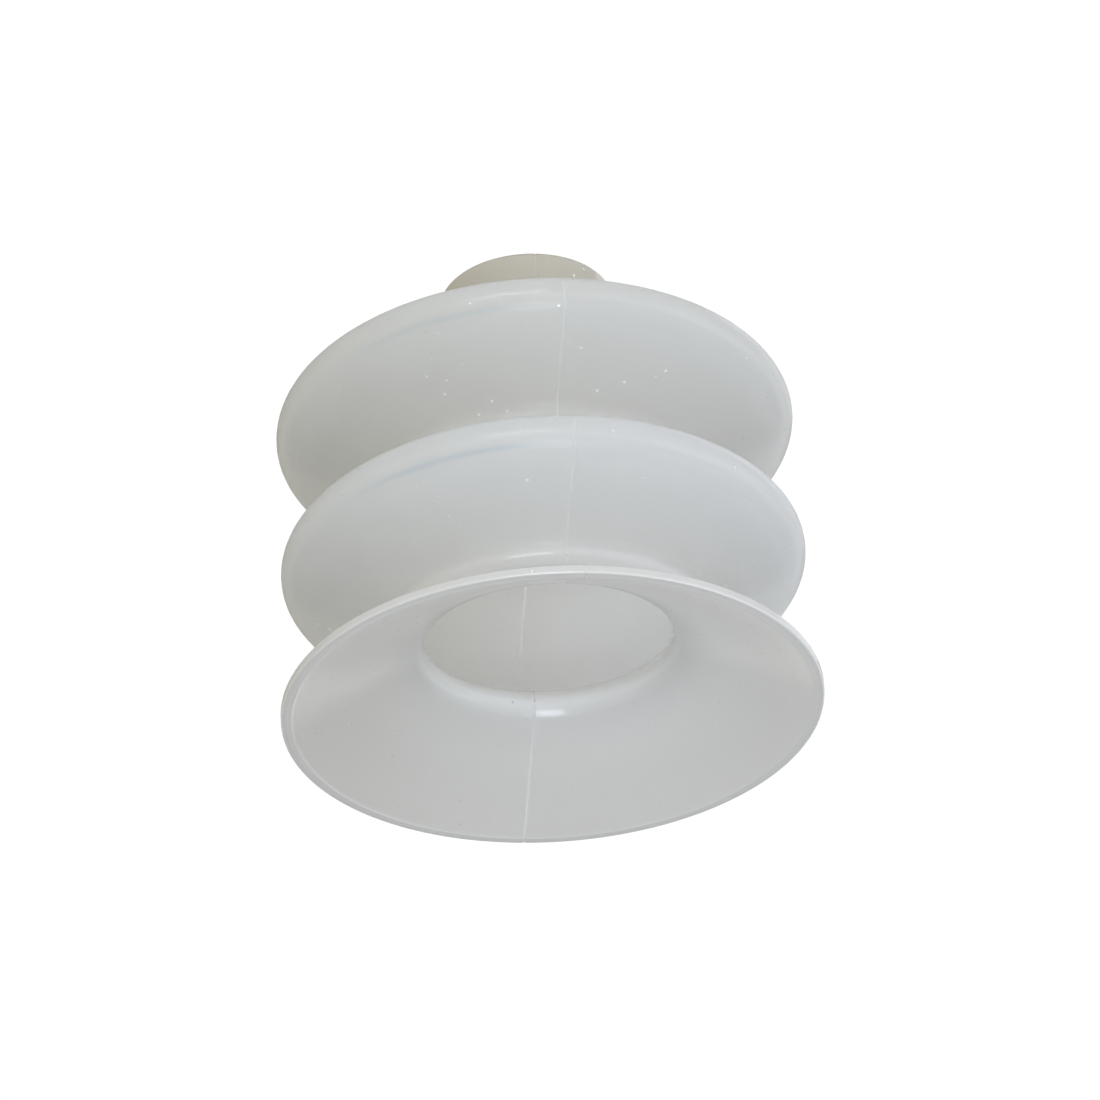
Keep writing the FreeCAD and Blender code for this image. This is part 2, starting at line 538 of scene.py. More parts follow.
class Value:
    """A socket of a node tree; arithmetic on it adds Math nodes."""

    def __init__(self, graph, socket):
        self.graph = graph
        self.socket = socket

    def combine(self, operation, first, second):
        """A Math node of two inputs."""
        return self.graph.add("ShaderNodeMath", {"operation": operation}, {0: first, 1: second})

    def __add__(self, other):
        return self.combine("ADD", self, other)

    def __radd__(self, other):
        return self.combine("ADD", other, self)

    def __sub__(self, other):
        return self.combine("SUBTRACT", self, other)

    def __rsub__(self, other):
        return self.combine("SUBTRACT", other, self)

    def __mul__(self, other):
        return self.combine("MULTIPLY", self, other)

    def __rmul__(self, other):
        return self.combine("MULTIPLY", other, self)

    def __truediv__(self, other):
        return self.combine("DIVIDE", self, other)

    def apply(self, operation):
        """A Math node of one input, such as SINE."""
        return self.graph.add("ShaderNodeMath", {"operation": operation}, {0: self})

    def beside(self, name):
        """Another output of the same node."""
        return Value(self.graph, self.socket.node.outputs[name])


class Graph:
    """Adds nodes to a tree and links them."""

    def __init__(self, tree):
        self.tree = tree

    def add(self, kind, settings=None, sockets=None, out=0):
        """A node with its settings made first, then its sockets set or linked; returns one output."""
        node = self.tree.nodes.new(kind)
        for name, setting in (settings or {}).items():
            setattr(node, name, setting)
        for key, item in (sockets or {}).items():
            if isinstance(item, Value):
                self.tree.links.new(item.socket, node.inputs[key])
            else:
                node.inputs[key].default_value = item
        return Value(self, node.outputs[out]) if node.outputs else None

    def split(self, vector):
        """The X, Y and Z of a vector."""
        node = self.tree.nodes.new("ShaderNodeSeparateXYZ")
        self.tree.links.new(vector.socket, node.inputs[0])
        return [Value(self, output) for output in node.outputs]

    def tint(self, factor, first, second):
        """A blend of two colours."""
        sockets = {"Factor": factor, "A": first, "B": second}
        return self.add("ShaderNodeMix", {"data_type": "RGBA"}, sockets, out=2)

    def ease(self, value, low, high):
        """0 below low, 1 above high and a smooth rise between."""
        settings = {"interpolation_type": "SMOOTHSTEP"}
        return self.add("ShaderNodeMapRange", settings, {"Value": value, "From Min": low, "From Max": high})


class GeometryTree:
    """A Geometry Nodes tree with named inputs."""

    def __init__(self, name):
        self.tree = bpy.data.node_groups.new(name, "GeometryNodeTree")
        self.tree.is_modifier = True
        self.graph = Graph(self.tree)
        self.identifiers = {}
        self.entry = self.tree.nodes.new("NodeGroupInput")
        self.tree.interface.new_socket("Geometry", in_out="OUTPUT", socket_type="NodeSocketGeometry")

    def ask(self, name, kind):
        """Adds a named input and returns it."""
        item = self.tree.interface.new_socket(name, in_out="INPUT", socket_type=f"NodeSocket{kind}")
        self.identifiers[name] = item.identifier
        return Value(self.graph, self.entry.outputs[name])

    def close(self, geometry, material):
        """Ends the tree with real faces and their material."""
        real = self.graph.add("GeometryNodeRealizeInstances", {}, {"Geometry": geometry})
        done = self.graph.add("GeometryNodeSetMaterial", {}, {"Geometry": real, "Material": material})
        self.graph.add("NodeGroupOutput", {}, {0: done})


def corner(radius, level):
    """A sharp point of a half section."""
    return {"centre": Vector((radius, level)), "bend": 0.0, "turn": OUTWARD}


def bend(radius, level, bend_radius, turn):
    """A round bend of a half section: OUTWARD round a crest, INWARD round a waist."""
    return {"centre": Vector((radius, level)), "bend": bend_radius, "turn": turn}


def direction(angle):
    """Unit vector of a run's angle."""
    return Vector((math.cos(angle), math.sin(angle)))


def tangent_angle(first, second):
    """Direction of the straight run that leaves one bend and meets the next without a kink."""
    across, rise = second["centre"] - first["centre"]
    offset = second["turn"] * second["bend"] - first["turn"] * first["bend"]
    return math.atan2(rise, across) - math.asin(offset / math.hypot(across, rise))


def touch_point(station, angle):
    """Point where a straight run of that direction touches the bend."""
    return station["centre"] + station["turn"] * station["bend"] * direction(angle - math.pi / 2)


def rounded(radius, level, angle_in, angle_out, bend_radius):
    """A bend that rounds a sharp point between two runs."""
    half_turn = (angle_out - angle_in) / 2
    turn = OUTWARD if half_turn > 0 else INWARD
    touch = Vector((radius, level)) - direction(angle_in) * bend_radius * math.tan(abs(half_turn))
    centre = touch + turn * bend_radius * direction(angle_in + math.pi / 2)
    return bend(*centre, bend_radius, turn)


def trace(stations, bend_steps, run_steps):
    """Points along the stations: straight runs, tangent to the bends between them."""
    angles = [tangent_angle(first, second) for first, second in zip(stations, stations[1:])]
    points = []
    for i, station in enumerate(stations):
        angle_in = angles[max(i - 1, 0)]
        angle_out = angles[min(i, len(angles) - 1)]
        steps = bend_steps if station["bend"] > 0 and angle_in != angle_out else 0
        for step in range(steps + 1):
            points.append(touch_point(station, angle_in + (angle_out - angle_in) * step / max(steps, 1)))
        if i < len(angles):
            begin, finish = points[-1], touch_point(stations[i + 1], angle_out)
            points += [begin.lerp(finish, step / run_steps) for step in range(1, run_steps)]
    return points


def between(points, low, high):
    """The stretch of a rising line between two levels."""
    kept = []
    for first, second in zip(points, points[1:]):
        if second.y <= low or first.y >= high:
            continue
        rise = second.y - first.y
        begin = first.lerp(second, max(0.0, (low - first.y) / rise)) if first.y < low else first
        finish = first.lerp(second, (high - first.y) / rise) if second.y > high else second
        kept += [begin] if not kept else []
        kept.append(finish)
    return kept


def wall_faces(shape):
    """The outer and inner line of the wall, both from the middle of the lip's land to the neck's rim."""
    lip, neck, throat = shape.lip_diameter / 2, shape.neck_diameter / 2, shape.throat_diameter / 2
    crest = shape.crest_diameter / 2 - shape.crest_bend
    land, stem = lip - shape.lip_land, neck - shape.wall

    def folded(crest_bend, waist, waist_bend, foot_bend):
        return [
            bend(waist, THROAT, waist_bend, INWARD),
            bend(crest, LOWER_CREST, crest_bend, OUTWARD),
            bend(waist, UPPER_WAIST, waist_bend, INWARD),
            bend(crest, UPPER_CREST, crest_bend, OUTWARD),
            bend(neck + shape.neck_fillet, FOLDS_TOP + shape.neck_fillet, foot_bend, INWARD),
        ]

    groove = throat + shape.waist_wall + shape.groove_bend
    outer = folded(shape.crest_bend, groove, shape.groove_bend, shape.neck_fillet)
    hollow = throat + shape.waist_bend
    inner = folded(shape.crest_bend - shape.wall, hollow, shape.waist_bend, shape.neck_fillet + shape.wall)
    skirt_out = tangent_angle(corner(lip, LIP_PLANE + shape.lip_edge), outer[0])
    skirt_in = tangent_angle(corner(land, LIP_PLANE), inner[0])
    land_middle = corner((lip + land) / 2, LIP_PLANE)
    rim_middle = corner(neck - shape.wall / 2, NECK_TOP)
    upright, inwards, soft = math.pi / 2, math.pi, shape.edge_round
    outer = [
        land_middle,
        rounded(lip, LIP_PLANE, 0, upright, soft),
        rounded(lip, LIP_PLANE + shape.lip_edge, upright, skirt_out, soft),
        *outer,
        rounded(neck, NECK_TOP, upright, inwards, shape.neck_edge),
        rim_middle,
    ]
    inner = [
        land_middle,
        rounded(land, LIP_PLANE, inwards, skirt_in, soft),
        *inner,
        rounded(stem + shape.seam_gap, NECK_TOP, upright, 0, soft),
        rim_middle,
    ]
    return [trace(line, shape.bend_steps, shape.run_steps) for line in (outer, inner)]


def half_section(name, points, attributes):
    """An object that holds a closed half section, with named values on each point."""
    mesh = bpy.data.meshes.new(name)
    count = len(points)
    edges = [(i, (i + 1) % count) for i in range(count)]
    mesh.from_pydata([(point.x, 0, point.y) for point in points], edges, [])
    for label, values in attributes.items():
        mesh.attributes.new(label, "FLOAT", "POINT").data.foreach_set("value", values)
    piece = bpy.data.objects.new(name, mesh)
    bpy.context.scene.collection.objects.link(piece)
    return piece


def turned(tree, profile, steps, crowding, azimuth):
    """Turns a half section about the axis; the steps crowd where they pass the azimuth and its far side."""
    graph = tree.graph
    outline = graph.add("GeometryNodeMeshToCurve", {}, {"Mesh": profile})
    radius, _, level = graph.split(graph.add("GeometryNodeInputPosition"))
    flat = graph.add("ShaderNodeCombineXYZ", {}, {"X": radius - AXIS_CLEARANCE, "Y": 0 - level})
    outline = graph.add("GeometryNodeSetPosition", {}, {"Geometry": outline, "Position": flat})
    even = graph.add("GeometryNodeInputIndex") * math.tau / steps
    angle = even - crowding / 2 * (even * 2).apply("SINE") + azimuth
    across, along = angle.apply("COSINE") * AXIS_CLEARANCE, angle.apply("SINE") * AXIS_CLEARANCE
    circle = graph.add("GeometryNodeCurvePrimitiveCircle", {}, {"Resolution": steps})
    spot = graph.add("ShaderNodeCombineXYZ", {}, {"X": across, "Y": along})
    path = graph.add("GeometryNodeSetPosition", {}, {"Geometry": circle, "Position": spot})
    return graph.add("GeometryNodeCurveToMesh", {}, {"Curve": path, "Profile Curve": outline})


def wall_tree():
    """Turns a half section into a wall with a fine flash line on the mould's parting plane."""
    tree = GeometryTree("turned_wall")
    profile = tree.ask("Half Section", "Geometry")
    steps = tree.ask("Turn Steps", "Int")
    azimuth = tree.ask("Parting Azimuth", "Float")
    height = tree.ask("Flash Height", "Float")
    width = tree.ask("Flash Width", "Float")
    crowding = tree.ask("Crowding", "Float")
    material = tree.ask("Material", "Material")
    graph = tree.graph
    wall = turned(tree, profile, steps, crowding, azimuth)
    x, y, _ = graph.split(graph.add("GeometryNodeInputPosition"))
    off_plane = (y * azimuth.apply("COSINE") - x * azimuth.apply("SINE")).apply("ABSOLUTE")
    share = graph.add("GeometryNodeInputNamedAttribute", {"data_type": "FLOAT"}, {"Name": "flash"})
    proud = (1 - graph.ease(off_plane, 0.0, width)) * height * share
    normal = graph.add("GeometryNodeInputNormal")
    shift = graph.add("ShaderNodeVectorMath", {"operation": "SCALE"}, {0: normal, "Scale": proud})
    wall = graph.add("GeometryNodeSetPosition", {}, {"Geometry": wall, "Offset": shift})
    tree.close(wall, material)
    return tree


def bush_tree():
    """Turns a half section into a bush and cuts the thread where the section asks for it."""
    tree = GeometryTree("threaded_bush")
    profile = tree.ask("Half Section", "Geometry")
    steps = tree.ask("Turn Steps", "Int")
    pitch = tree.ask("Pitch", "Float")
    depth = tree.ask("Depth", "Float")
    material = tree.ask("Material", "Material")
    graph = tree.graph
    bush = turned(tree, profile, steps, 0.0, 0.0)
    place = graph.add("GeometryNodeInputPosition")
    x, y, z = graph.split(place)
    turn = graph.add("ShaderNodeMath", {"operation": "ARCTAN2"}, {0: y, 1: x}) / math.tau
    flank = graph.add("ShaderNodeMath", {"operation": "PINGPONG"}, {0: z / pitch - turn, 1: 0.5}) * 2
    share = graph.add("GeometryNodeInputNamedAttribute", {"data_type": "FLOAT"}, {"Name": "thread"})
    level = graph.add("ShaderNodeCombineXYZ", {}, {"X": x, "Y": y})
    outward = graph.add("ShaderNodeVectorMath", {"operation": "NORMALIZE"}, {0: level})
    groove = flank * depth * share
    shift = graph.add("ShaderNodeVectorMath", {"operation": "SCALE"}, {0: outward, "Scale": groove})
    bush = graph.add("GeometryNodeSetPosition", {}, {"Geometry": bush, "Offset": shift})
    tree.close(bush, material)
    return tree


def grow(piece, tree, inputs):
    """Runs a tree on the piece and keeps the result as a plain, closed mesh."""
    modifier = piece.modifiers.new(tree.tree.name, "NODES")
    modifier.node_group = tree.tree
    for name, item in inputs.items():
        modifier[tree.identifiers[name]] = item
    depsgraph = bpy.context.evaluated_depsgraph_get()
    made = bpy.data.meshes.new_from_object(piece.evaluated_get(depsgraph), depsgraph=depsgraph)
    piece.modifiers.remove(modifier)
    work = bmesh.new()
    work.from_mesh(made)
    bmesh.ops.remove_doubles(work, verts=work.verts, dist=MERGE_DISTANCE)
    bmesh.ops.recalc_face_normals(work, faces=work.faces)
    open_edges = [edge for edge in work.edges if not edge.is_manifold]
    if not work.faces or open_edges:
        counts = f"{len(work.faces)} faces, {len(open_edges)} open edges"
        raise RuntimeError(f"{piece.name} is not a closed mesh: {counts}")
    work.to_mesh(made)
    work.free()
    made.shade_smooth()
    made.set_sharp_from_angle(angle=CREASE_ANGLE)
    piece.data = made
    return piece


def turn_wall(context, name, low, high):
    """One length of the silicone wall, between two levels."""
    shape, flash = context.scene.cup_shape, context.scene.cup_flash
    outer, inner = (between(line, low, high) for line in wall_faces(shape))
    ends = outer[0], outer[-1]
    lining = [
        point for point in reversed(inner) if min((point - end).length for end in ends) > MERGE_DISTANCE
    ]
    section = outer + lining
    attributes = {
        "outside": [1.0] * len(outer) + [0.0] * len(lining),
        "flash": [flash.outer_share] * len(outer) + [1.0 if point.y < FOLDS_TOP else 0.0 for point in lining],
        "height": [point.y for point in section],
    }
    piece = half_section(name, section, attributes)
    inputs = {
        "Turn Steps": shape.turn_steps,
        "Parting Azimuth": flash.azimuth,
        "Flash Height": flash.height,
        "Flash Width": flash.width,
        "Crowding": flash.crowding,
        "Material": silicone(context.scene.cup_finish, flash),
    }
    return grow(piece, wall_tree(), inputs)


# Patterns of the silicone's and the brass's skin, in cells to the metre
CLOUD = {"Scale": 70.0, "Detail": 3.0}
GRAIN = {"Scale": 2500.0, "Detail": 2.0}
RIPPLE = {"Scale": 350.0, "Detail": 1.0}
TOOL_MARKS = {"Scale": 3500.0, "Detail": 3.0}
TARNISH = {"Scale": 400.0, "Detail": 4.0}
DUST = {"scale": 700.0, "shift": 0.0, "size": 0.19 * MM, "share": 0.6}
DIRT = {"scale": 500.0, "shift": 0.37, "size": 0.17 * MM, "share": 0.15}

# A speck against its size: the smallest one, the spread up to the largest, and the even core
SMALLEST_SPECK = 0.6
SPECK_SPREAD = 0.5
SPECK_CORE = 0.6

# Relief of those patterns
GRAIN_RELIEF = {"Strength": 0.05, "Distance": 0.05 * MM}
RIPPLE_RELIEF = {"Strength": 0.1, "Distance": 0.1 * MM}
DUST_RELIEF = {"Strength": 0.7, "Distance": 0.1 * MM}
TOOL_RELIEF = {"Strength": 0.25, "Distance": 0.03 * MM}

# The even middle of a zone, as a share of the crest reach or, for the throat, of the lip reach
CREST_CORE = 0.6
FLANK_CORE = 0.4
THROAT_CORE = 0.2

# How strongly each zone takes its tint
FLANK_TONE_AND_SHADE = 0.9
CLOUD_TINT = 0.2
CREST_PAINTED_SHADE = 0.3
LAND_PAINTED_LIGHT = 0.8
DUST_TINT = 0.9
DIRT_TINT = 0.5
INNER_SEAM_TINT = 0.9
OUTER_SEAM_TINT = 0.2

# The part of its translucency that each zone loses
MILKINESS = {"crests": 0.06, "land": 0.6, "neck": 0.3, "throats": 0.8, "seam": 0.4, "dust": 1.0}

# The painted shade of the crest lines fades in and out between these distances to the side of the axis, so it
# shows only left of the axis
LINE_FADES_IN = -21 * MM, -11 * MM
LINE_FADES_OUT = -4 * MM, 4 * MM

# Gloss and tarnish
SILICONE_IOR = 1.48
CLOUD_ROUGHNESS = 0.06
BRASS_ROUGHNESS = 0.3
TARNISH_ROUGHNESS = 0.15
TARNISH_EDGE = 0.35, 0.75
TARNISHED = 0.7


def opaque(colour):
    """A colour with full alpha."""
    return (*colour, 1.0)


def new_material(name):
    """An empty material and the graph of its nodes."""
    material = bpy.data.materials.new(name)
    material.use_nodes = True
    material.node_tree.nodes.clear()
    return material, Graph(material.node_tree)


def speckle(graph, place, scale, shift, size, share):
    """Sparse round specks: a share of the cells of a Voronoi pattern, one speck in each."""
    moved = graph.add("ShaderNodeMapping", {}, {"Vector": place, "Location": (shift, shift, shift)})
    distance = graph.add("ShaderNodeTexVoronoi", {}, {"Vector": moved, "Scale": scale})
    pick, spread, _ = graph.split(distance.beside("Color"))
    limit = (SMALLEST_SPECK + spread * SPECK_SPREAD) * (size * scale)
    chosen = graph.add("ShaderNodeMath", {"operation": "LESS_THAN"}, {0: pick, 1: share})
    return (1 - graph.ease(distance / limit, SPECK_CORE, 1.0)) * chosen


def rings(graph, height, levels, half_width, core=0.0):
    """1 at some levels of the cup, falling smoothly to 0 from a ring's core to its border."""
    return sum(1 - graph.ease((height - level).apply("ABSOLUTE"), core, half_width) for level in levels)


def silicone_zones(graph, place, finish, flash):
    """Where each look of the silicone shows: 1 in the zone and 0 away from it."""
    x, y, _ = graph.split(place)
    height = graph.add("ShaderNodeAttribute", {"attribute_name": "height"}, out="Fac")
    outside = graph.add("ShaderNodeAttribute", {"attribute_name": "outside"}, out="Fac")
    inside = 1 - outside
    neck = graph.ease(height, FOLDS_TOP, SLEEVE_FOOT)
    off_plane = (y * math.cos(flash.azimuth) - x * math.sin(flash.azimuth)).apply("ABSOLUTE")
    parting = 1 - graph.ease(off_plane, flash.width * 0.5, flash.width * 1.5)
    lines = rings(graph, height + finish.line_drop, CRESTS, finish.line_width)
    shown = graph.ease(x, *LINE_FADES_IN) * (1 - graph.ease(x, *LINE_FADES_OUT))
    throat = rings(graph, height, [THROAT], finish.lip_reach, finish.lip_reach * THROAT_CORE)
    waist = rings(graph, height, [UPPER_WAIST], finish.waist_reach)
    return {
        "outside": outside,
        "inside": inside,
        "neck": neck,
        "neck_tone_and_shade": graph.ease(height, UPPER_WAIST, SLEEVE_FOOT),
        "above_throat": graph.ease(height, THROAT, THROAT + finish.waist_reach),
        "land": 1 - graph.ease(height, LIP_PLANE, LIP_PLANE + finish.land_reach),
        "throats": rings(graph, height, WAISTS, finish.waist_reach) * inside,
        "painted_throat_light": (throat + waist) * inside,
        "crests": rings(graph, height, CRESTS, finish.crest_reach, finish.crest_reach * CREST_CORE),
        "flank_tone_and_shade": rings(graph, height, CRESTS, finish.flank_reach, finish.crest_reach * FLANK_CORE),
        "matt_lines": lines,
        "painted_crest_shade_lines": lines * outside * shown,
        "seam": parting * (inside * INNER_SEAM_TINT + outside * (1 - neck) * OUTER_SEAM_TINT),
        "cloud": graph.add("ShaderNodeTexNoise", {}, {"Vector": place, **CLOUD}),
        "dust": speckle(graph, place, **DUST) * DUST_TINT,
        "dirt": speckle(graph, place, **DIRT) * DIRT_TINT,
    }


def silicone_colour(graph, finish, zones):
    """Milky white: cooler with painted shade on the flanks, yellowish with painted shade up to the neck,
    painted shade on the crests and inside, painted light round the throats and on the land, and the marks on
    top.
    """
    layers = [
        # cooler thin wall, with painted shade near the crests
        (zones["flank_tone_and_shade"] * FLANK_TONE_AND_SHADE + zones["cloud"] * CLOUD_TINT, finish.thin),
        # painted shade on the crests' bends
        (zones["crests"] * CREST_PAINTED_SHADE, finish.crest),
        # painted shade inside the wall
        (zones["inside"], finish.hollow),
        # painted light: near white round the throats and on the lip's land
        (zones["painted_throat_light"] + zones["land"] * LAND_PAINTED_LIGHT, finish.dust),
        (zones["painted_crest_shade_lines"], finish.line),
        # yellowish tone and painted shade from the upper waist up to the neck
        (zones["neck_tone_and_shade"], finish.thick),
        (zones["seam"] + zones["dust"], finish.dust),
        (zones["dirt"], finish.dirt),
    ]
    colour = opaque(finish.milk)
    for zone, paint in layers:
        colour = graph.tint(zone, colour, opaque(paint))
    return colour


def silicone_relief(graph, place, dust):
    """The normals of the bare skin, with its grain and ripple, and of the skin with dust on it."""
    grain = graph.add("ShaderNodeTexNoise", {}, {"Vector": place, **GRAIN})
    ripple = graph.add("ShaderNodeTexNoise", {}, {"Vector": place, **RIPPLE})
    grained = graph.add("ShaderNodeBump", {}, {"Height": grain, **GRAIN_RELIEF})
    skin = graph.add("ShaderNodeBump", {}, {"Height": ripple, "Normal": grained, **RIPPLE_RELIEF})
    dusty = graph.add("ShaderNodeBump", {}, {"Height": dust, "Normal": skin, **DUST_RELIEF})
    return skin, dusty


def silicone(finish, flash):
    """Milky translucent silicone: satin, glossier in the waists, with the mould's lines and a little dust."""
    name = "milky_silicone"
    if name in bpy.data.materials:
        return bpy.data.materials[name]
    material, graph = new_material(name)
    place = graph.add("ShaderNodeTexCoord", out="Object")
    zones = silicone_zones(graph, place, finish, flash)
    skin, dusty = silicone_relief(graph, place, zones["dust"])
    polish = zones["throats"] * (finish.skin_roughness - finish.throat_roughness)
    body = graph.add(
        "ShaderNodeBsdfPrincipled",
        {},
        {
            "Base Color": silicone_colour(graph, finish, zones),
            "Roughness": finish.skin_roughness - polish + zones["cloud"] * CLOUD_ROUGHNESS,
            "IOR": SILICONE_IOR,
            "Specular IOR Level": 1.0,
            "Coat Weight": zones["throats"] + zones["outside"] * (1 - zones["matt_lines"]),
            "Coat Roughness": finish.coat_roughness,
            "Normal": dusty,
        },
    )
    milky = graph.add("ShaderNodeBsdfTranslucent", {}, {"Color": opaque(finish.milk), "Normal": skin})
    cooler = graph.add("ShaderNodeBsdfTranslucent", {}, {"Color": opaque(finish.thin), "Normal": skin})
    through = graph.add("ShaderNodeMixShader", {}, {0: zones["flank_tone_and_shade"], 1: milky, 2: cooler})
    thinner = finish.translucency - finish.lip_translucency
    share = finish.lip_translucency + thinner * zones["above_throat"]
    for zone, loss in MILKINESS.items():
        share = share * (1 - zones[zone] * loss)
    shader = graph.add("ShaderNodeMixShader", {}, {0: share, 1: body, 2: through})
    graph.add("ShaderNodeOutputMaterial", {}, {"Surface": shader})
    return material


def brass(finish):
    """Turned brass: rings of tool marks and a light tarnish."""
    material, graph = new_material("turned_brass")
    place = graph.add("ShaderNodeTexCoord", out="Object")
    x, y, z = graph.split(place)
    track = graph.add("ShaderNodeCombineXYZ", {}, {"X": (x * x + y * y).apply("SQRT"), "Y": z})
    marks = graph.add("ShaderNodeTexNoise", {}, {"Vector": track, **TOOL_MARKS})
    tarnish = graph.add("ShaderNodeTexNoise", {}, {"Vector": place, **TARNISH})
    dull = [channel * TARNISHED for channel in finish.brass]
    shader = graph.add(
        "ShaderNodeBsdfPrincipled",
        {},
        {
            "Base Color": graph.tint(graph.ease(tarnish, *TARNISH_EDGE), opaque(finish.brass), opaque(dull)),
            "Metallic": 1.0,
            "Roughness": BRASS_ROUGHNESS + tarnish * TARNISH_ROUGHNESS,
            "Normal": graph.add("ShaderNodeBump", {}, {"Height": marks, **TOOL_RELIEF}),
        },
    )
    graph.add("ShaderNodeOutputMaterial", {}, {"Surface": shader})
    return material


class CUP_OT_neck(bpy.types.Operator):
    """Turns the neck"""

    bl_idname = "suction_cup.neck"
    bl_label = "Neck"

    def execute(self, context):
        gap = context.scene.cup_shape.seam_gap
        neck = turn_wall(context, "neck", FOLDS_TOP + gap, NECK_TOP)
        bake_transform(neck)
        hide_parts("neck_sleeve", "neck_root")
        return {"FINISHED"}


class CUP_OT_folds(bpy.types.Operator):
    """Turns the two folds and hangs them from the shoulder"""

    bl_idname = "suction_cup.folds"
    bl_label = "Folds"

    def execute(self, context):
        gap = context.scene.cup_shape.seam_gap
        folds = turn_wall(context, "folds", THROAT + gap, FOLDS_TOP)
        kept = 1 - joint_travel("bellows_stroke") / (FOLDS_TOP - THROAT)
        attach(folds, "shoulder")
        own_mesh(folds)
        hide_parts("shoulder_wall", "upper_crest", "upper_fold_underside", "upper_waist")
        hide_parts("lower_fold_top", "lower_crest", "lower_fold_underside")
        return {"FINISHED"}


class CUP_OT_lip(bpy.types.Operator):
    """Turns the flared lip and hangs it from the lower waist"""

    bl_idname = "suction_cup.lip"
    bl_label = "Lip"

    def execute(self, context):
        lip = turn_wall(context, "lip", LIP_PLANE - context.scene.cup_shape.seam_gap, THROAT)
        kept = 1 - joint_travel("lip_flatten") / (THROAT - LIP_PLANE)
        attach(lip, "lower_waist")
        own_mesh(lip)
        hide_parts("lower_waist", "lip_skirt", "lip_edge")
        return {"FINISHED"}


class CUP_OT_insert(bpy.types.Operator):
    """Turns the brass insert and cuts its thread"""

    bl_idname = "suction_cup.insert"
    bl_label = "Threaded insert"

    def execute(self, context):
        shape, thread = context.scene.cup_shape, context.scene.cup_thread
        bore, stem = thread.bore / 2, shape.neck_diameter / 2 - shape.wall
        mouth = INSERT_TOP - thread.lead
        count = math.ceil((mouth - INSERT_FOOT) / thread.pitch * thread.steps)
        wall = [Vector((bore, INSERT_FOOT + (mouth - INSERT_FOOT) * i / count)) for i in range(count + 1)]
        shoulder = [(bore + thread.lead, INSERT_TOP), (stem, INSERT_TOP), (stem, INSERT_FOOT)]
        section = wall + [Vector(point) for point in shoulder]
        cuts = [1.0 if 0 < i < count else 0.0 for i in range(len(section))]
        bush = half_section("insert", section, {"thread": cuts})
        inputs = {
            "Turn Steps": thread.turn_steps,
            "Pitch": thread.pitch,
            "Depth": thread.depth,
            "Material": brass(context.scene.cup_finish),
        }
        grow(bush, bush_tree(), inputs)
        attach(bush, "mount")
        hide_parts("threaded_insert")
        return {"FINISHED"}


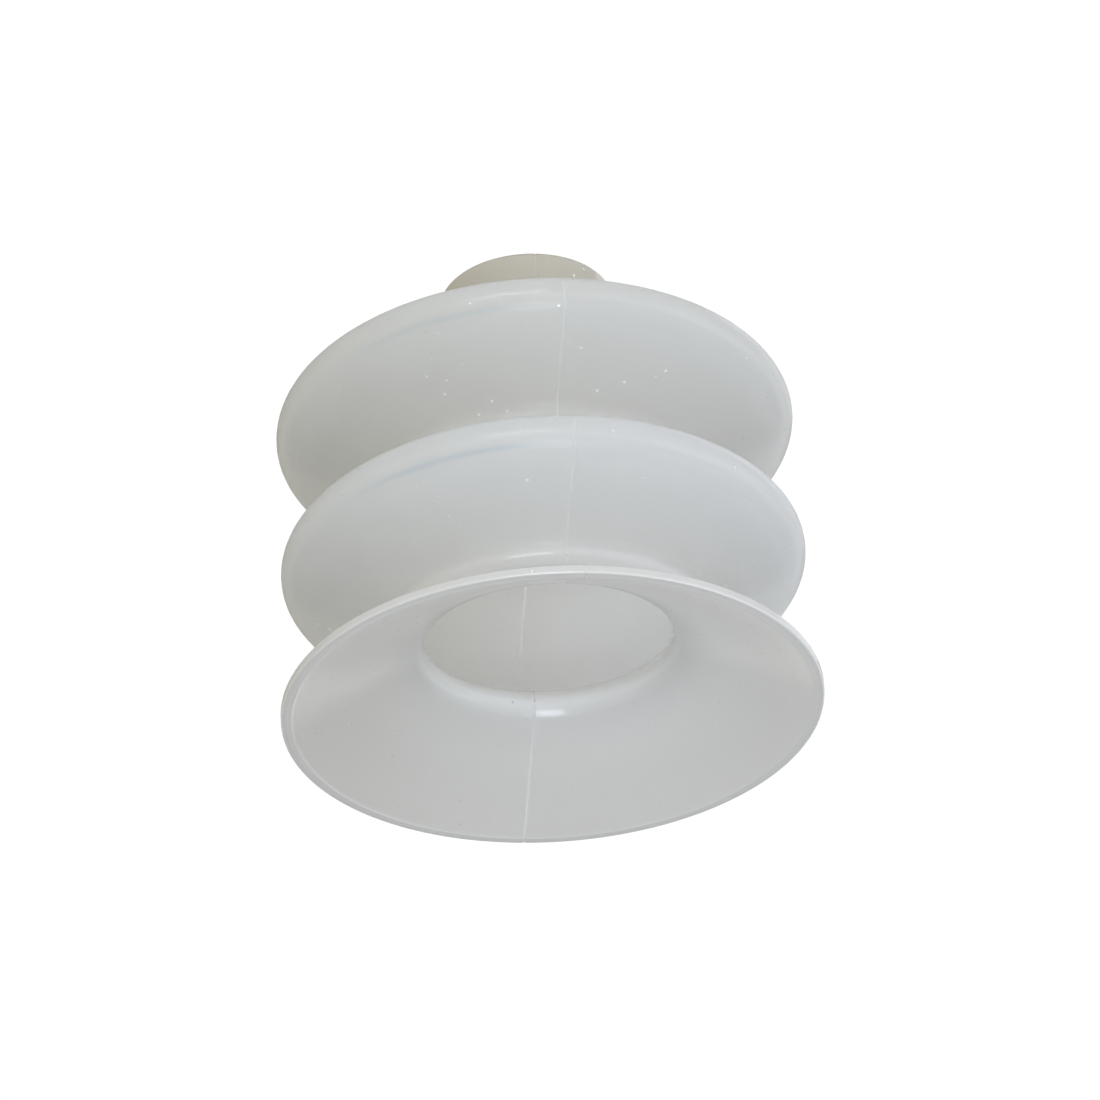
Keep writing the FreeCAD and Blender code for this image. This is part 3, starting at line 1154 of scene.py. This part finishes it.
class CUP_OT_stage(bpy.types.Operator):
    """Sets the floor, the white surroundings, the soft light and the camera"""

    bl_idname = "suction_cup.stage"
    bl_label = "Stage"

    def execute(self, context):
        studio = context.scene.cup_studio
        self.lay_floor(context, studio)
        self.light_tent(context, studio)
        for name in ("level", "front", "low", "rear"):
            self.hang_softbox(context, studio, name)
        self.place_camera(context, studio)
        context.scene.view_settings.view_transform = "Standard"
        return {"FINISHED"}

    @staticmethod
    def lay_floor(context, studio):
        """A pale floor, which the camera sees as white as the backdrop."""
        mesh = bpy.data.meshes.new("floor")
        side = studio.floor_size / 2
        corners = [(-side, -side), (side, -side), (side, side), (-side, side)]
        mesh.from_pydata([(x, y, studio.floor_level) for x, y in corners], [], [(0, 1, 2, 3)])
        material, graph = new_material("pale_floor")
        paint = graph.add("ShaderNodeBsdfDiffuse", {}, {"Color": opaque(studio.floor_paint)})
        white = graph.add("ShaderNodeEmission", {}, {"Strength": studio.backdrop})
        seen = graph.add("ShaderNodeLightPath", out="Is Camera Ray")
        floor_look = graph.add("ShaderNodeMixShader", {}, {0: seen, 1: paint, 2: white})
        graph.add("ShaderNodeOutputMaterial", {}, {"Surface": floor_look})
        mesh.materials.append(material)
        floor = bpy.data.objects.new("floor", mesh)
        context.scene.collection.objects.link(floor)

    @staticmethod
    def light_tent(context, studio):
        """A tent of light: warm on the left, cool on the right, dim above. The camera sees plain white."""
        world = bpy.data.worlds.new("white_tent")
        world.use_nodes = True
        world.node_tree.nodes.clear()
        graph = Graph(world.node_tree)
        seen = graph.add("ShaderNodeLightPath", out="Is Camera Ray")
        across, rearward, upward = graph.split(graph.add("ShaderNodeTexCoord", out="Generated"))
        left, right, roof = map(opaque, (studio.left_light, studio.right_light, studio.roof_light))
        sides = graph.tint(graph.ease(across, -1.0, 1.0), left, right)
        tent = graph.tint(graph.ease(upward, *ROOF_EDGE), sides, roof)
        dimming = 1 - graph.ease(rearward, *REAR_EDGE) * (1 - studio.rear_share)
        glow = graph.add("ShaderNodeBackground", {}, {"Color": tent, "Strength": dimming})
        white = graph.add("ShaderNodeBackground", {}, {"Color": WHITE, "Strength": studio.backdrop})
        sky = graph.add("ShaderNodeMixShader", {}, {0: seen, 1: glow, 2: white})
        graph.add("ShaderNodeOutputWorld", {}, {"Surface": sky})
        context.scene.world = world

    @staticmethod
    def hang_softbox(context, studio, name):
        """One softbox; the large front one has no mirror image on the skin."""
        lamp = bpy.data.lights.new(f"{name}_softbox", "AREA")
        lamp.shape = "RECTANGLE"
        lamp.size, lamp.size_y = getattr(studio, f"{name}_size")
        lamp.energy = getattr(studio, f"{name}_power")
        lamp.color = studio.daylight
        softbox = bpy.data.objects.new(f"{name}_softbox", lamp)
        softbox.visible_glossy = name != "front"
        away = Vector(getattr(studio, f"{name}_side")).normalized()
        softbox.location = Vector(studio.aim) + away * studio.light_distance
        softbox.rotation_mode = "QUATERNION"
        softbox.rotation_quaternion = away.to_track_quat("Z", "Y")
        context.scene.collection.objects.link(softbox)

    @staticmethod
    def place_camera(context, studio):
        """The camera, below the cup and a little rolled."""
        data = bpy.data.cameras.new("camera")
        data.lens = studio.lens
        data.clip_start = studio.distance / CLIP_RATIO
        data.clip_end = studio.distance * CLIP_RATIO
        camera = bpy.data.objects.new("camera", data)
        back = Vector((0, -math.cos(studio.elevation), -math.sin(studio.elevation)))
        level = Vector((1, 0, 0))
        upright = back.cross(level)
        right = level * math.cos(studio.roll) - upright * math.sin(studio.roll)
        up = level * math.sin(studio.roll) + upright * math.cos(studio.roll)
        turn = Matrix((right, up, back)).transposed()
        camera.matrix_world = Matrix.Translation(Vector(studio.aim) + back * studio.distance) @ turn.to_4x4()
        context.scene.collection.objects.link(camera)
        context.scene.camera = camera


class VIEW3D_PT_suction_cup(bpy.types.Panel):
    """Lists the cup's pieces and their settings"""

    bl_label = "Bellows Suction Cup"
    bl_space_type = "VIEW_3D"
    bl_region_type = "UI"
    bl_category = "Suction Cup"

    def draw(self, context):
        for name in SETTINGS:
            box = self.layout.box()
            group = getattr(context.scene, name)
            for item in group.bl_rna.properties:
                if item.identifier not in {"rna_type", "name"}:
                    box.prop(group, item.identifier)
        for operator in OPERATORS:
            self.layout.operator(operator.bl_idname)


SETTINGS = {
    "cup_shape": CupShape,
    "cup_flash": FlashShape,
    "cup_thread": ThreadShape,
    "cup_finish": Finish,
    "cup_studio": Studio,
}
OPERATORS = [CUP_OT_neck, CUP_OT_folds, CUP_OT_lip, CUP_OT_insert, CUP_OT_stage]
CLASSES = [*SETTINGS.values(), *OPERATORS, VIEW3D_PT_suction_cup]


def register():
    """Makes the settings, operators and panel known to Blender."""
    for item in CLASSES:
        bpy.utils.register_class(item)
    for name, group in SETTINGS.items():
        setattr(bpy.types.Scene, name, PointerProperty(type=group))


def unregister():
    """Takes them away again."""
    for name in SETTINGS:
        delattr(bpy.types.Scene, name)
    for item in reversed(CLASSES):
        bpy.utils.unregister_class(item)


def main():
    """Builds the cup and its stage."""
    register()
    bpy.ops.suction_cup.neck()
    bpy.ops.suction_cup.folds()
    bpy.ops.suction_cup.lip()
    bpy.ops.suction_cup.insert()
    bpy.ops.suction_cup.stage()


if __name__ == "__main__":
    main()
